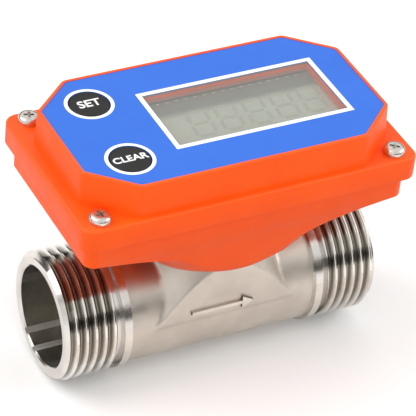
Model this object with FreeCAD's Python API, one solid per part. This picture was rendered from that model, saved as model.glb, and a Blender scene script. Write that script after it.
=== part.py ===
# Turbine flow meter: a threaded steel pipe body with a bladed rotor inside it,
# and a plastic display housing that stands on a boss in the middle of the pipe.
# Millimetres. The pieces are built about the middle of the pipe, with X along the flow and
# Z up towards the display, then moved so that the inlet face lies at x = 0.
import FreeCAD, Part
import math
import os

Vector = FreeCAD.Vector
os.makedirs("parts", exist_ok=True)

# ---- clearances -------------------------------------------------------------
running_clearance = 0.05     # shaft in its bushes, radial
sliding_clearance = 0.1      # keys in keyways, film in its recess
key_clearance = 0.2          # round a push key
loose_clearance = 0.25       # screws in their clearance holes
pilot_clearance = 0.05       # screw shanks in their tapped holes
end_float = 0.15             # rotor between its bushes, each end

# ---- pipe -------------------------------------------------------------------
pipe_past_base = 0.15           # each end of the pipe beyond the housing base
thread_major_radius = 16.6245   # G1 parallel pipe thread, left plain here
thread_section = 17.5           # face to the inner edge of the plain collar
thread_chamfer = 1.3
collar_width = 2.0              # left at full radius behind the thread
relief_width = 1.5              # turned groove that the thread runs out into
relief_depth = 1.4
barrel_radius = 15.8
bore_radius = 13.0
chamber_radius = 12.2           # rotor chamber between the two seats
seat_distance = 17.15           # middle to the shoulder that each straightener rests on
keyway_width = 1.65
keyway_depth = 0.8
keyway_angles = (-54.0, -77.5)  # about the flow axis, from +Y towards +Z

# ---- boss on the pipe -------------------------------------------------------
boss_foot = 1.5                 # height of the lower edge of the side flats
boss_foot_radius = 24.85        # of the cone at its foot
boss_cone_top = 17.0            # where the cone meets the round seat
boss_half_width = 16.2          # flow axis to a side flat
boss_seat_height = 3.3          # of the round seat above the cone
boss_top_radius = 16.0
sensor_well_radius = 4.0
sensor_well_depth = 5.1
boss_screw_reach = 11.0         # flow axis to each of the two housing screws
boss_hole_depth = 5.9

# ---- turbine ----------------------------------------------------------------
shaft_radius = 1.0
shaft_engagement = 4.4          # length of shaft inside each bush
rotor_hub_radius = 4.5
rotor_tip_clearance = 0.4
blade_count = 6
blade_length = 11.0
blade_thickness = 1.0
blade_angle = 32.0              # from the flow axis
blade_camber = 1.1              # bow of the plate over its length
magnet_radius = 1.3
magnet_length = 5.0
magnet_circle = 2.9
bush_radius = 2.4
bush_length = 5.2
bush_pocket_depth = 5.0
rotor_half_length = 6.3
hub_radius = 4.5
nose_length = 5.5
nose_flat_radius = 0.5
nose_tip_distance = 24.65       # middle of the pipe to the tip
vane_count = 5
vane_thickness = 1.0
vane_length = 12.5
foot_length = 5.0               # of the vanes' feet, which rest on the pipe's shoulder

# ---- housing base -----------------------------------------------------------
bell_rim_drop = 1.0             # of the rim below the top of the boss
bell_rim_radius = 21.0
bell_rim_wall = 2.2
bell_height = 12.9
bell_flare = 4.4                # how late the bell opens out lengthways
bell_corner_power = 0.55        # how early its corners tighten
bell_stations = 8               # sections of the loft, closer together near the box
bell_corner_facets = 12         # flat steps round each outside corner
least_side = 0.05               # straight left between the corners of a near-circle
least_inner_corner = 1.0
base_inset = 2.0                # of the base under the cover's flange
base_corner_radius = 3.0
base_wall = 2.0
base_band_height = 6.3          # straight side under the cover
base_floor_gap = 1.0            # room for the neck gasket
neck_gasket_outer = 7.6
neck_gasket_inner = 5.2         # round the sensor well

# ---- housing cover ----------------------------------------------------------
flange_half_length = 45.0
flange_half_width = 25.0
flange_thickness = 6.27
flange_corner_radius = 3.5
flange_edge_chamfer = 0.7
lid_end_shelf = 3.3             # flange left bare beyond the lid, each end
lid_side_shelf = 1.7            # and each side
lid_cut_length = 11.2           # how far each corner is cut back along X
lid_cut_width = 10.0            # and along Y
lid_draft = 0.45
lid_height = 8.67               # above the flange
lid_wall = 2.6
lid_rim = 0.9                   # orange lip round the printed film
film_recess = 0.7
film_thickness = 0.5
roof_thickness = 1.7            # under the film
gasket_margin = 0.6             # cavity to the seal groove
gasket_width = 1.0
gasket_height = 0.9
gasket_squeeze_room = 0.1

# ---- display window and keys ------------------------------------------------
window_centre_x = 8.15
window_centre_y = -0.2
window_half_length = 22.85
window_half_width = 10.6
window_ledge = 0.5
window_thickness = 1.0
window_play = 0.05
key_end_margin = 13.65          # lid's end to a key's centre
key_y = 11.7
key_radius = 5.0
key_flange_radius = 5.9
key_flange_gap = 0.14
key_proud = 0.15
key_travel = 0.4

# ---- board and what it carries ----------------------------------------------
board_drop = 3.44               # of the board below the cover's roof
board_thickness = 1.6
board_margin = 0.6
switch_size = 6.0
switch_height = 2.0
plunger_size = 3.2
plunger_proud = 0.4
plunger_depth = 0.7             # below the switch's top
plunger_room = 0.2              # left under a pressed plunger
lcd_border = 1.95               # display cell beyond the window, each end
lcd_upper_edge = 9.3            # from the meter's long axis
lcd_lower_edge = 11.3
lcd_ledge = 1.4                 # contact ledge of the rear glass
lcd_lift = 0.6
lcd_plate_thickness = 1.3
pin_count = 16
pin_pitch = 2.54
pin_width = 0.5
pin_thickness = 0.3
pin_clip_length = 0.7           # over the ledge
board_screw_past_key = 8.85     # key's centre to the screws beside it
board_screw_end_margin = 14.7   # lid's other end to the screws near it
board_screw_side_margin = 6.5
board_boss_radius = 2.3
board_screw_radius = 1.0
board_screw_length = 4.2
chip_size = 7.0
chip_height = 1.2
crystal_y = 8.0
crystal_length = 5.0
crystal_width = 2.2
crystal_height = 1.6
connector_length = 4.0
connector_width = 6.0
connector_height = 2.6
cell_radius = 5.25
cell_length = 44.5
cell_offset = 5.8
cell_play = 0.1
holder_plate = 0.9
holder_wall = 0.9
holder_end_wall = 1.2
holder_end_room = 2.05
holder_rib_depth = 4.0
holder_side_depth = 6.5
holder_end_depth = 8.0
contact_size = 7.0
contact_thickness = 0.4
contact_tongue_width = 2.6
contact_tip_height = 0.8

# ---- sensor -----------------------------------------------------------------
capsule_radius = 3.8
capsule_wall = 0.8
capsule_floor_gap = 0.2
capsule_flange_size = 10.0
capsule_flange_thickness = 1.0
hall_width = 4.0
hall_depth = 1.5
hall_height = 3.0
lead_thickness = 0.8
lead_width = 3.0
bend_share = 0.45               # share of the shorter run that each bend takes
lead_low_rise = 5.3             # corner of its route above the base's floor
lead_high_drop = 9.2            # corner of its route below the connector

# ---- screws -----------------------------------------------------------------
cover_screw_end_margin = 5.5    # flange's end to a screw's centre
cover_screw_side_margin = 4.1
cover_screw_radius = 1.35
cover_screw_length = 10.6
cover_screw_head_radius = 2.75
cover_screw_head_height = 1.9
base_screw_radius = 1.5

# ---- heights and lengths that follow ----------------------------------------
base_half_length = flange_half_length - base_inset
base_half_width = flange_half_width - base_inset
half_length = base_half_length + pipe_past_base
lid_half_length = flange_half_length - lid_end_shelf
lid_half_width = flange_half_width - lid_side_shelf
cover_screw_x = flange_half_length - cover_screw_end_margin
cover_screw_y = flange_half_width - cover_screw_side_margin
key_x = key_end_margin - lid_half_length
lcd_half_length = window_half_length + lcd_border
board_screw_y = lid_half_width - board_screw_side_margin
board_screw_spots = [(key_x + board_screw_past_key, board_screw_y),
                     (lid_half_length - board_screw_end_margin, -board_screw_y)]
holder_half_length = cell_length / 2 + holder_end_room + holder_end_wall
board_half_length = lid_half_length - lid_wall - board_margin
end_bay_middle = (holder_half_length + board_half_length) / 2
chip_x = -end_bay_middle
connector_x = end_bay_middle
boss_top = boss_cone_top + boss_seat_height
sensor_well_floor = boss_top - sensor_well_depth
boss_hole_floor = boss_top - boss_hole_depth
bell_rim_height = boss_top - bell_rim_drop
floor_underside = boss_top + base_floor_gap
floor_top = floor_underside + base_wall
box_underside = bell_rim_height + bell_height
split_height = box_underside + base_band_height
flange_top = split_height + flange_thickness
lid_top = flange_top + lid_height
film_floor = lid_top - film_recess
roof_underside = film_floor - roof_thickness
film_top = film_floor + film_thickness
board_top = roof_underside - board_drop
board_underside = board_top - board_thickness
lead_low_height = floor_top + lead_low_rise
lead_high_height = board_underside - connector_height - lead_high_drop
key_top = film_top + key_proud
key_flange_top = roof_underside - key_flange_gap
plunger_top = board_top + switch_height + plunger_proud
cell_height = board_underside - holder_plate - cell_play - cell_radius
bush_start = rotor_half_length + end_float
hub_end = bush_start + bush_length - bush_pocket_depth
shaft_half_length = hub_end + shaft_engagement
blade_tip_radius = chamber_radius - rotor_tip_clearance


# ---- small shape helpers ----------------------------------------------------
def box(x_low, x_high, y_low, y_high, z_low, z_high):
    corner = Vector(x_low, y_low, z_low)
    return Part.makeBox(x_high - x_low, y_high - y_low, z_high - z_low, corner)


def post(radius, x, y, z_low, z_high):
    return Part.makeCylinder(radius, z_high - z_low, Vector(x, y, z_low))


def rod(radius, x_low, x_high):
    return Part.makeCylinder(radius, x_high - x_low, Vector(x_low, 0, 0), Vector(1, 0, 0))


def tube(outer_radius, inner_radius, x_low, x_high):
    return rod(outer_radius, x_low, x_high).cut(rod(inner_radius, x_low, x_high))


def joined(shapes):
    first, *others = shapes
    return first.fuse(others).removeSplitter()


def without(shape, cutters):
    return shape.cut(Part.makeCompound(cutters))


def around_flow_axis(shape, angle):
    turned = shape.copy()
    turned.rotate(Vector(0, 0, 0), Vector(1, 0, 0), angle)
    return turned


def mirrored(shape):
    return shape.mirror(Vector(0, 0, 0), Vector(1, 0, 0))


def raised(outline, height):
    return Part.Face(outline).extrude(Vector(0, 0, height))


def round_rectangle(half_x, half_y, radius, z):
    """A closed outline of four sides and four corner arcs."""
    edges = []
    slant = radius * math.sqrt(0.5)
    corners = ((1, 1), (-1, 1), (-1, -1), (1, -1))
    starts = []
    for side_x, side_y in corners:
        centre = Vector(side_x * (half_x - radius), side_y * (half_y - radius), z)
        along_x = centre + Vector(side_x * radius, 0, 0)
        along_y = centre + Vector(0, side_y * radius, 0)
        middle = centre + Vector(side_x * slant, side_y * slant, 0)
        first, last = (along_x, along_y) if side_x * side_y > 0 else (along_y, along_x)
        edges.append(Part.Arc(first, middle, last).toShape())
        starts.append((first, last))
    for corner in range(4):
        leaving = starts[corner][1]
        arriving = starts[(corner + 1) % 4][0]
        edges.append(Part.makeLine(leaving, arriving))
    return Part.Wire(Part.__sortEdges__(edges))


def octagon(z, inset=0.0, spread=0.0):
    """The lid's outline, pulled in by inset, or pushed out by spread."""
    half_x = lid_half_length
    half_y = lid_half_width
    cut_x = lid_cut_length
    cut_y = lid_cut_width
    quarter = [(half_x, half_y - cut_y), (half_x - cut_x, half_y)]
    points = []
    for side_x, side_y, forward in ((1, 1, True), (-1, 1, False), (-1, -1, True), (1, -1, False)):
        pair = quarter if forward else quarter[::-1]
        points += [Vector(side_x * x, side_y * y, z) for x, y in pair]
    outline = Part.makePolygon(points + [points[0]])
    move = spread - inset
    return outline.makeOffset2D(move, 2) if move else outline


def four_corners(x, y):
    return [(side_x * x, side_y * y) for side_x in (-1, 1) for side_y in (-1, 1)]


def screw(x, y, seat, direction, radius, length, head_radius, head_height):
    """A plain screw whose shank runs from its seat in the given direction, up or down."""
    shank_end = seat + direction * length
    head_end = seat - direction * head_height
    shank = post(radius, x, y, *sorted((seat, shank_end)))
    head = post(head_radius, x, y, *sorted((seat, head_end)))
    return joined([shank, head])


# ---- pipe body --------------------------------------------------------------
def pipe_profile():
    """Half of the pipe's outside, from the middle to the outlet face, as a turned shape."""
    collar_start = half_length - thread_section
    relief_start = collar_start + collar_width
    relief_end = relief_start + relief_width
    relief_radius = thread_major_radius - relief_depth
    chamfer_start = half_length - thread_chamfer
    points = [
        Vector(0, 0, 0),
        Vector(0, 0, barrel_radius),
        Vector(collar_start, 0, barrel_radius),
        Vector(collar_start, 0, thread_major_radius),
        Vector(relief_start, 0, thread_major_radius),
        Vector(relief_start, 0, relief_radius),
        Vector(relief_end, 0, relief_radius),
        Vector(relief_end, 0, thread_major_radius),
        Vector(chamfer_start, 0, thread_major_radius),
        Vector(half_length, 0, thread_major_radius - thread_chamfer),
        Vector(half_length, 0, 0),
    ]
    face = Part.Face(Part.makePolygon(points + [points[0]]))
    return face.revolve(Vector(0, 0, 0), Vector(1, 0, 0), 360)


def make_boss():
    """A cone that narrows upwards, with two side flats, under a round seat."""
    cone = Part.makeCone(boss_foot_radius, boss_top_radius, boss_cone_top - boss_foot,
                         Vector(0, 0, boss_foot))
    slab = box(-boss_foot_radius, boss_foot_radius, -boss_half_width, boss_half_width,
               boss_foot, boss_cone_top)
    seat = post(boss_top_radius, 0, 0, boss_cone_top, boss_top)
    return joined([cone.common(slab), seat])


def outlet_bore():
    """The bore and keyways that are cut from the outlet end, out from its shoulder."""
    cutters = [rod(bore_radius, seat_distance, half_length)]
    for angle in keyway_angles:
        slot = box(seat_distance, half_length, 0, bore_radius + keyway_depth,
                   -keyway_width / 2, keyway_width / 2)
        cutters.append(around_flow_axis(slot, angle))
    return cutters


def boss_screw_spots():
    return [(0, boss_screw_reach), (0, -boss_screw_reach)]


def make_flow_body():
    outside = joined([pipe_profile(), mirrored(pipe_profile())])
    outside = joined([outside, make_boss()])
    cutters = outlet_bore() + [mirrored(cutter) for cutter in outlet_bore()]
    cutters.append(rod(chamber_radius, -seat_distance, seat_distance))
    cutters.append(post(sensor_well_radius, 0, 0, sensor_well_floor, boss_top))
    tapped = base_screw_radius + pilot_clearance
    cutters += [post(tapped, x, y, boss_hole_floor, boss_top) for x, y in boss_screw_spots()]
    return without(outside, cutters)


# ---- turbine ----------------------------------------------------------------
def make_straightener():
    """The outlet one: a hub with a tapered nose on vanes, one of them keyed into the pipe."""
    nose_start = nose_tip_distance - nose_length
    hub = rod(hub_radius, hub_end, nose_start)
    nose = Part.makeCone(hub_radius, nose_flat_radius, nose_length,
                         Vector(nose_start, 0, 0), Vector(1, 0, 0))
    vane_half = vane_thickness / 2
    chamber_reach = math.sqrt((chamber_radius - sliding_clearance) ** 2 - vane_half ** 2)
    bore_reach = math.sqrt((bore_radius - sliding_clearance) ** 2 - vane_half ** 2)
    outer_end = seat_distance + foot_length
    pieces = [hub, nose]
    for number in range(vane_count):
        vane = box(outer_end - vane_length, outer_end, hub_radius / 2, chamber_reach,
                   -vane_half, vane_half)
        foot = box(seat_distance, outer_end, hub_radius, bore_reach, -vane_half, vane_half)
        angle = keyway_angles[0] + number * 360 / vane_count
        pieces += [around_flow_axis(vane, angle), around_flow_axis(foot, angle)]
    key_half = keyway_width / 2 - sliding_clearance
    key = box(seat_distance, outer_end, bore_reach - keyway_depth, bore_radius + keyway_depth
              - sliding_clearance, -key_half, key_half)
    pieces.append(around_flow_axis(key, keyway_angles[0]))
    whole = joined(pieces)
    pocket = rod(bush_radius, hub_end, hub_end + bush_pocket_depth)
    return whole.cut(pocket)


def make_bush():
    return tube(bush_radius, shaft_radius + running_clearance, bush_start, bush_start + bush_length)


def make_blade():
    """A bowed plate that stands out from the hub, cut to the tip circle."""
    half = blade_length / 2
    angle = math.radians(blade_angle)
    front = Vector(half, half * math.tan(angle), 0)
    across = Vector(-math.sin(angle), math.cos(angle), 0)
    sides = []
    for offset in (-blade_thickness / 2, blade_thickness / 2):
        aside = across * offset
        sides.append((aside - front, aside + across * blade_camber, aside + front))
    (rear_one, middle_one, front_one), (rear_two, middle_two, front_two) = sides
    edges = [Part.Arc(rear_one, middle_one, front_one).toShape(),
             Part.makeLine(front_one, front_two),
             Part.Arc(front_two, middle_two, rear_two).toShape(),
             Part.makeLine(rear_two, rear_one)]
    blade = Part.Face(Part.Wire(edges)).extrude(Vector(0, 0, blade_tip_radius))
    return blade.common(rod(blade_tip_radius, -rotor_half_length, rotor_half_length))


def make_rotor():
    hub = rod(rotor_hub_radius, -rotor_half_length, rotor_half_length)
    blade = make_blade()
    blades = [around_flow_axis(blade, number * 360 / blade_count) for number in range(blade_count)]
    pockets = [magnet(side) for side in (-1, 1)]
    shaft_hole = rod(shaft_radius, -rotor_half_length, rotor_half_length)
    return without(joined([hub] + blades), pockets + [shaft_hole])


def magnet(side):
    spot = Vector(rotor_half_length - magnet_length, 0, side * magnet_circle)
    return Part.makeCylinder(magnet_radius, magnet_length, spot, Vector(1, 0, 0))


# ---- housing base -----------------------------------------------------------
def faceted_outline(half_x, half_y, radius, z, facets):
    """Points of a round-cornered rectangle whose corners are turned in equal steps."""
    points = []
    for quarter, (side_x, side_y) in enumerate(((1, 1), (-1, 1), (-1, -1), (1, -1))):
        centre = Vector(side_x * (half_x - radius), side_y * (half_y - radius), z)
        for step in range(facets + 1):
            angle = math.radians(90 * (quarter + step / facets))
            points.append(centre + Vector(math.cos(angle), math.sin(angle), 0) * radius)
    return points


def flat_face(points):
    return Part.Face(Part.makePolygon(points + [points[0]]))


def skinned(outlines):
    """A solid between outlines whose sides are parallel each to each, so that each face is flat."""
    faces = [flat_face(outlines[0]), flat_face(outlines[-1])]
    for lower, upper in zip(outlines, outlines[1:]):
        for corner in range(len(lower)):
            before = corner - 1
            faces.append(flat_face([lower[before], lower[corner], upper[corner], upper[before]]))
    solid = Part.makeSolid(Part.makeShell(faces))
    return solid if solid.Volume > 0 else solid.reversed()


def bell(inset, lift, first_share, facets):
    """The bell between its round rim and the box above."""
    outlines = []
    for station in range(bell_stations):
        left_to_go = 1 - station / (bell_stations - 1)
        share = 1 - (1 - first_share) * left_to_go ** 2
        half_x = bell_rim_radius + (base_half_length - bell_rim_radius) * share ** bell_flare
        half_y = bell_rim_radius + (base_half_width - bell_rim_radius) * share
        tightened = share ** bell_corner_power
        corner = bell_rim_radius * (1 - tightened) + base_corner_radius * tightened
        corner = min(corner, half_y - least_side) - inset
        corner = max(corner, least_inner_corner)
        height = bell_rim_height + lift + bell_height * share
        outlines.append(faceted_outline(half_x - inset, half_y - inset, corner, height, facets))
    return skinned(outlines)


def make_housing_base():
    outline = round_rectangle(base_half_length, base_half_width, base_corner_radius, box_underside)
    band = raised(outline, split_height - box_underside)
    outside = joined([bell(0, 0, 0, bell_corner_facets), band])
    inner_start = (floor_top - bell_rim_height - base_wall) / bell_height
    hollow = bell(base_wall, base_wall, inner_start, 1)
    cavity_floor = box_underside + base_wall
    cavity = raised(octagon(cavity_floor, lid_wall), split_height - cavity_floor)
    skirt = post(bell_rim_radius - bell_rim_wall, 0, 0, bell_rim_height, floor_underside)
    sensor_hole = post(capsule_radius + sliding_clearance, 0, 0, floor_underside, floor_top)
    cutters = [hollow, cavity, skirt, sensor_hole]
    clear = base_screw_radius + loose_clearance
    cutters += [post(clear, x, y, floor_underside, floor_top) for x, y in boss_screw_spots()]
    pilot = cover_screw_radius + pilot_clearance
    hole_floor = flange_top - cover_screw_length - pilot_clearance
    corners = four_corners(cover_screw_x, cover_screw_y)
    cutters += [post(pilot, x, y, hole_floor, split_height) for x, y in corners]
    return without(outside, cutters)


# ---- housing cover ----------------------------------------------------------
def gasket_ring(width_play, height):
    inner = raised(octagon(split_height, lid_wall - gasket_margin + width_play), height)
    outer_inset = lid_wall - gasket_margin - gasket_width - width_play
    outer = raised(octagon(split_height, outer_inset), height)
    return outer.cut(inner)


def make_housing_cover():
    outline = round_rectangle(flange_half_length, flange_half_width,
                              flange_corner_radius, split_height)
    flange = raised(outline, flange_top - split_height)
    rim = [edge for edge in flange.Edges if edge.BoundBox.ZMin > flange_top - least_side]
    flange = flange.makeChamfer(flange_edge_chamfer, rim)
    lid = Part.makeLoft([octagon(flange_top, 0, lid_draft), octagon(lid_top)], True, True)
    outside = joined([flange, lid])
    hollow = raised(octagon(split_height, lid_wall), roof_underside - split_height)
    bosses = [post(board_boss_radius, x, y, board_top, roof_underside) for x, y in board_screw_spots]
    hollow = without(hollow, bosses)
    left = window_centre_x - window_half_length
    right = window_centre_x + window_half_length
    near = window_centre_y - window_half_width
    far = window_centre_y + window_half_width
    ledge_height = film_top - window_thickness
    cutters = [
        hollow,
        raised(octagon(film_floor, lid_rim), film_recess),
        box(left, right, near, far, ledge_height, film_floor),
        box(left + window_ledge, right - window_ledge, near + window_ledge, far - window_ledge,
            roof_underside, ledge_height),
        gasket_ring(gasket_squeeze_room / 2, gasket_height + gasket_squeeze_room),
    ]
    cutters += [post(key_radius + key_clearance, key_x, side * key_y, roof_underside, film_floor)
                for side in (-1, 1)]
    clear = cover_screw_radius + loose_clearance
    cutters += [post(clear, x, y, split_height, flange_top)
                for x, y in four_corners(cover_screw_x, cover_screw_y)]
    pilot = board_screw_radius + pilot_clearance
    pilot_top = board_underside + board_screw_length + pilot_clearance
    cutters += [post(pilot, x, y, board_top, pilot_top) for x, y in board_screw_spots]
    return without(outside, cutters)


def make_front_overlay():
    film = raised(octagon(film_floor, lid_rim + sliding_clearance), film_thickness)
    window = box(window_centre_x - window_half_length, window_centre_x + window_half_length,
                 window_centre_y - window_half_width, window_centre_y + window_half_width,
                 film_floor, film_top)
    holes = [post(key_radius + key_clearance, key_x, side * key_y, film_floor, film_top)
             for side in (-1, 1)]
    return without(film, [window] + holes)


def make_display_window():
    half_x = window_half_length - window_play
    half_y = window_half_width - window_play
    return box(window_centre_x - half_x, window_centre_x + half_x,
               window_centre_y - half_y, window_centre_y + half_y,
               film_top - window_thickness, film_top)


def make_key(side):
    """A push key: a cap over a flange that keeps it in and rests on the switch."""
    y = side * key_y
    cap = post(key_radius, key_x, y, key_flange_top, key_top)
    flange = post(key_flange_radius, key_x, y, plunger_top, key_flange_top)
    return joined([cap, flange])


# ---- board, display and battery ---------------------------------------------
def make_switch(side):
    half = switch_size / 2
    y = side * key_y
    top = board_top + switch_height
    body = box(key_x - half, key_x + half, y - half, y + half, board_top, top)
    well_half = plunger_size / 2 + sliding_clearance
    well_floor = top - plunger_depth - key_travel - plunger_room
    return body.cut(box(key_x - well_half, key_x + well_half, y - well_half, y + well_half,
                        well_floor, top))


def make_plunger(side):
    half = plunger_size / 2
    y = side * key_y
    bottom = board_top + switch_height - plunger_depth
    return box(key_x - half, key_x + half, y - half, y + half, bottom, plunger_top)


def make_circuit_board():
    board = raised(octagon(board_underside, lid_wall + board_margin), board_thickness)
    clear = board_screw_radius + loose_clearance
    holes = [post(clear, x, y, board_underside, board_top) for x, y in board_screw_spots]
    return without(board, holes)


def make_lcd_glass():
    """Two bonded plates, the front one narrower to leave the contact ledges bare."""
    left = window_centre_x - lcd_half_length
    right = window_centre_x + lcd_half_length
    bottom = board_top + lcd_lift
    middle = bottom + lcd_plate_thickness
    rear = box(left, right, -lcd_lower_edge, lcd_upper_edge, bottom, middle)
    front = box(left, right, -lcd_lower_edge + lcd_ledge, lcd_upper_edge - lcd_ledge,
                middle, middle + lcd_plate_thickness)
    return joined([rear, front])


def make_lcd_pins():
    """Clips on both long edges of the rear glass, each on a leg down to the board."""
    pins = []
    ledge = board_top + lcd_lift + lcd_plate_thickness
    for number in range(pin_count):
        x = window_centre_x + (number - (pin_count - 1) / 2) * pin_pitch
        for edge, outward in ((lcd_upper_edge, 1), (-lcd_lower_edge, -1)):
            leg_ends = sorted((edge, edge + outward * pin_thickness))
            clip_ends = sorted((edge - outward * pin_clip_length, edge + outward * pin_thickness))
            leg = box(x - pin_width / 2, x + pin_width / 2, *leg_ends, board_top, ledge)
            clip = box(x - pin_width / 2, x + pin_width / 2, *clip_ends, ledge, ledge + pin_thickness)
            pins.append(joined([leg, clip]))
    return pins


def make_chip():
    half = chip_size / 2
    return box(chip_x - half, chip_x + half, -half, half, board_underside - chip_height, board_underside)


def make_crystal():
    half_x = crystal_length / 2
    half_y = crystal_width / 2
    return box(chip_x - half_x, chip_x + half_x, crystal_y - half_y, crystal_y + half_y,
               board_underside - crystal_height, board_underside)


def make_connector():
    half_x = connector_length / 2
    half_y = connector_width / 2
    return box(connector_x - half_x, connector_x + half_x, -half_y, half_y,
               board_underside - connector_height, board_underside)


def make_battery_holder():
    """A tray under the board, open below, with a rib between the two cells."""
    inner_x = cell_length / 2 + holder_end_room
    outer_x = holder_half_length
    inner_y = cell_offset + cell_radius + cell_play
    outer_y = inner_y + holder_wall
    ceiling = board_underside - holder_plate
    side_low = ceiling - holder_side_depth
    end_low = ceiling - holder_end_depth
    rib_half = cell_offset - cell_radius - 2 * cell_play
    pieces = [box(-outer_x, outer_x, -outer_y, outer_y, ceiling, board_underside)]
    for side in (-1, 1):
        walls = sorted((side * inner_y, side * outer_y))
        ends = sorted((side * inner_x, side * outer_x))
        pieces.append(box(-outer_x, outer_x, *walls, side_low, ceiling))
        pieces.append(box(*ends, -outer_y, outer_y, end_low, ceiling))
    pieces.append(box(-inner_x, inner_x, -rib_half, rib_half, ceiling - holder_rib_depth, ceiling))
    return joined(pieces)


def make_cell(side):
    start = Vector(-cell_length / 2, side * cell_offset, cell_height)
    return Part.makeCylinder(cell_radius, cell_length, start, Vector(1, 0, 0))


def make_contact(end, side):
    """A leaf on the holder's end wall, with a sprung tongue that meets the cell."""
    wall = cell_length / 2 + holder_end_room
    half = contact_size / 2
    y = side * cell_offset
    leaf = box(wall - contact_thickness, wall, y - half, y + half,
               cell_height - half, cell_height + half)
    reach = holder_end_room - contact_thickness - cell_play
    root_x = wall - contact_thickness
    tongue_half = contact_tongue_width / 2
    foot_z = cell_height - half
    tongue_points = [Vector(root_x, y - tongue_half, foot_z),
                     Vector(root_x - reach, y - tongue_half, cell_height),
                     Vector(root_x - reach, y - tongue_half, cell_height + contact_tip_height),
                     Vector(root_x, y - tongue_half, foot_z + contact_thickness)]
    tongue = Part.Face(Part.makePolygon(tongue_points + [tongue_points[0]]))
    contact = joined([leaf, tongue.extrude(Vector(0, contact_tongue_width, 0))])
    return contact if end > 0 else mirrored(contact)


# ---- sensor in the boss -----------------------------------------------------
def make_capsule():
    """A cup in the well of the boss, hung by its square flange on the housing's floor."""
    bottom = sensor_well_floor + capsule_floor_gap
    flange_top_height = floor_top + capsule_flange_thickness
    cup = post(capsule_radius, 0, 0, bottom, flange_top_height)
    half = capsule_flange_size / 2
    flange = box(-half, half, -half, half, floor_top, flange_top_height)
    inner = post(capsule_radius - capsule_wall, 0, 0, bottom + capsule_wall, flange_top_height)
    return joined([cup, flange]).cut(inner)


def hall_floor():
    return sensor_well_floor + capsule_floor_gap + capsule_wall


def make_hall_sensor():
    low = hall_floor()
    return box(-hall_depth / 2, hall_depth / 2, -hall_width / 2, hall_width / 2, low, low + hall_height)


def make_sensor_lead():
    """The flat lead from the sensor, under the cells, up to its connector on the board."""
    start = Vector(0, 0, hall_floor() + hall_height)
    rise = Vector(0, 0, lead_low_height)
    turn_up = Vector(connector_x, 0, lead_high_height)
    end = Vector(connector_x, 0, board_underside - connector_height)
    route = [start, rise, turn_up, end]
    edges = []
    leaving = start
    for number in range(1, len(route) - 1):
        before = route[number - 1] - route[number]
        after = route[number + 1] - route[number]
        turn = math.pi - before.getAngle(after)
        shorter = min(before.Length, after.Length)
        radius = bend_share * shorter / math.tan(turn / 2)
        tangent = radius * math.tan(turn / 2)
        first = route[number] + before.normalize() * tangent
        last = route[number] + after.normalize() * tangent
        inward = (before + after).normalize()
        middle = route[number] + inward * (radius / math.cos(turn / 2) - radius)
        edges.append(Part.makeLine(leaving, first))
        edges.append(Part.Arc(first, middle, last).toShape())
        leaving = last
    edges.append(Part.makeLine(leaving, end))
    path = Part.Wire(edges)
    half_x = lead_thickness / 2
    half_y = lead_width / 2
    corners = [start + Vector(x, y, 0) for x, y in
               ((-half_x, -half_y), (half_x, -half_y), (half_x, half_y), (-half_x, half_y))]
    section = Part.makePolygon(corners + [corners[0]])
    return path.makePipeShell([section], True, False)


# ---- gaskets and screws -----------------------------------------------------
def make_neck_gasket():
    ring = post(neck_gasket_outer, 0, 0, boss_top, floor_underside)
    return ring.cut(post(neck_gasket_inner, 0, 0, boss_top, floor_underside))


def make_cover_screws():
    return [screw(x, y, flange_top, -1, cover_screw_radius, cover_screw_length,
                  cover_screw_head_radius, cover_screw_head_height)
            for x, y in four_corners(cover_screw_x, cover_screw_y)]


# ---- every node, by name ----------------------------------------------------
straightener = make_straightener()
bush = make_bush()
nodes = {
    "flow_body": [make_flow_body()],
    "inlet_straightener": [mirrored(straightener)],
    "outlet_straightener": [straightener],
    "inlet_bearing": [mirrored(bush)],
    "outlet_bearing": [bush],
    "rotor": [make_rotor()],
    "rotor_shaft": [rod(shaft_radius, -shaft_half_length, shaft_half_length)],
    "rotor_magnets": [magnet(-1), magnet(1)],
    "neck_gasket": [make_neck_gasket()],
    "housing_base": [make_housing_base()],
    "cover_gasket": [gasket_ring(0, gasket_height)],
    "housing_cover": [make_housing_cover()],
    "cover_screws": make_cover_screws(),
    "front_overlay": [make_front_overlay()],
    "display_window": [make_display_window()],
    "set_key": [make_key(1)],
    "clear_key": [make_key(-1)],
    "set_switch": [make_switch(1)],
    "clear_switch": [make_switch(-1)],
    "set_switch_plunger": [make_plunger(1)],
    "clear_switch_plunger": [make_plunger(-1)],
    "circuit_board": [make_circuit_board()],
    "lcd_glass": [make_lcd_glass()],
    "lcd_pins": make_lcd_pins(),
    "controller_chip": [make_chip()],
    "quartz_crystal": [make_crystal()],
    "sensor_connector": [make_connector()],
    "battery_holder": [make_battery_holder()],
    "battery_cells": [make_cell(-1), make_cell(1)],
    "battery_contacts": [make_contact(end, side) for end in (-1, 1) for side in (-1, 1)],
    "sensor_capsule": [make_capsule()],
    "hall_sensor": [make_hall_sensor()],
    "sensor_lead": [make_sensor_lead()],
}

for name, shapes in nodes.items():
    solids = [solid for shape in shapes for solid in shape.Solids]
    node = solids[0] if len(solids) == 1 else Part.makeCompound(solids)
    node.translate(Vector(half_length, 0, 0))
    assert node.isValid(), name
    node.exportStep("parts/" + name + ".step")
    print(name, len(solids), round(node.Volume, 1))
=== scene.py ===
import bpy
import bmesh
import math
from mathutils import Matrix, Vector


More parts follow.
